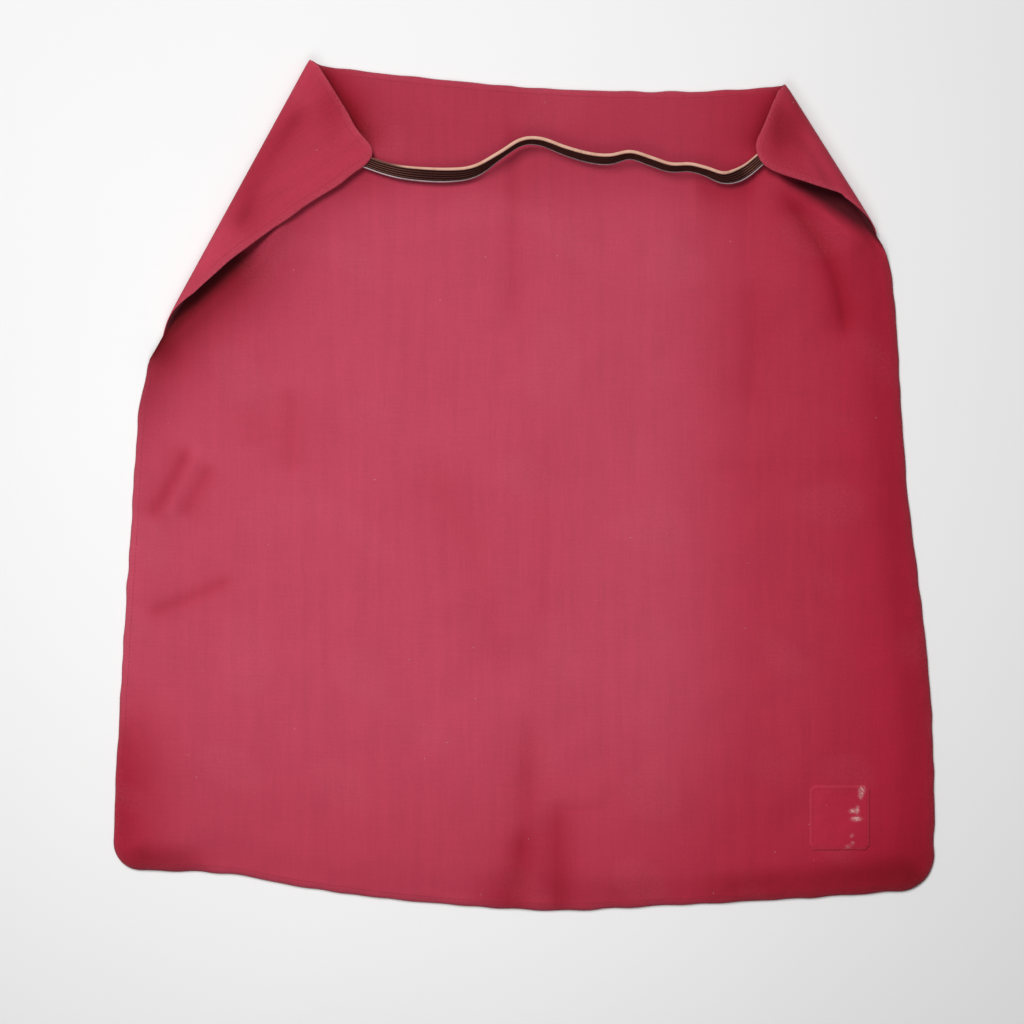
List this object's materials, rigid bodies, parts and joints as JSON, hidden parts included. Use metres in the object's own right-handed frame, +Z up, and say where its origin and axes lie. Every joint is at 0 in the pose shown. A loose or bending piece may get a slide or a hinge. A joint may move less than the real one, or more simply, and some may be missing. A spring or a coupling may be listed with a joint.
{
  "type": "kayak spray skirt",
  "caption": "Doubled cloth deck for a kayak cockpit, lying flat with both waist corners folded forward and joined by a slack elastic strap.",
  "frame": {"origin": "on the surface the skirt lies on, under the middle of its footprint", "axes": "+Y towards the waist edge, +X to the right seen from above, +Z up out of the skirt's face"},
  "size_m": [0.7399, 0.766, 0.0305],
  "materials": {
    "cloth_face": "matte plain-weave crimson cloth with a faint sheen",
    "cloth_back": "matte plain-weave crimson cloth, the shaded inner and under side",
    "thread": "twisted polyester sewing thread",
    "elastic": "ribbed dark brown woven elastic",
    "strap_edge_cream": "cream knitted edging with a slight shine",
    "strap_edge_grey": "pale grey knitted edging",
    "shock_cord": "rubber strands in a braided sleeve",
    "patch": "plain tone-on-tone cloth patch, worn pale in places"
  },
  "bodies": {
    "deck": {"deck_face_panel": "cloth_face", "deck_back_panel": "cloth_back", "top_seam": "thread", "left_side_seam": "thread", "right_side_seam": "thread", "bottom_seam": "thread", "hem_shock_cord": "shock_cord", "label_patch": "patch", "strap_elastic": "elastic", "strap_upper_edge": "strap_edge_cream", "strap_lower_edge": "strap_edge_grey"},
    "left_flap": {"left_flap_outer_layer": "cloth_face", "left_flap_inner_layer": "cloth_back", "left_fold_outer_roll": "cloth_face", "left_fold_inner_roll": "cloth_back", "left_flap_top_seam": "thread", "left_flap_side_seam": "thread", "left_strap_end": "elastic", "left_strap_stitches": "thread"},
    "right_flap": {"right_flap_outer_layer": "cloth_face", "right_flap_inner_layer": "cloth_back", "right_fold_outer_roll": "cloth_face", "right_fold_inner_roll": "cloth_back", "right_flap_top_seam": "thread", "right_flap_side_seam": "thread", "right_strap_end": "elastic", "right_strap_stitches": "thread"}
  },
  "joints": [
    {"name": "left_flap_fold", "type": "hinge", "parent": "deck", "child": "left_flap", "pos_m": [-0.18423, 0.3782, 0.01], "axis": [-0.4802, -0.8772, 0], "range_deg": [0, 60]},
    {"name": "right_flap_fold", "type": "hinge", "parent": "deck", "child": "right_flap", "pos_m": [0.22654, 0.35567, 0.01], "axis": [-0.5327, 0.8463, 0], "range_deg": [0, 60]}
  ]
}
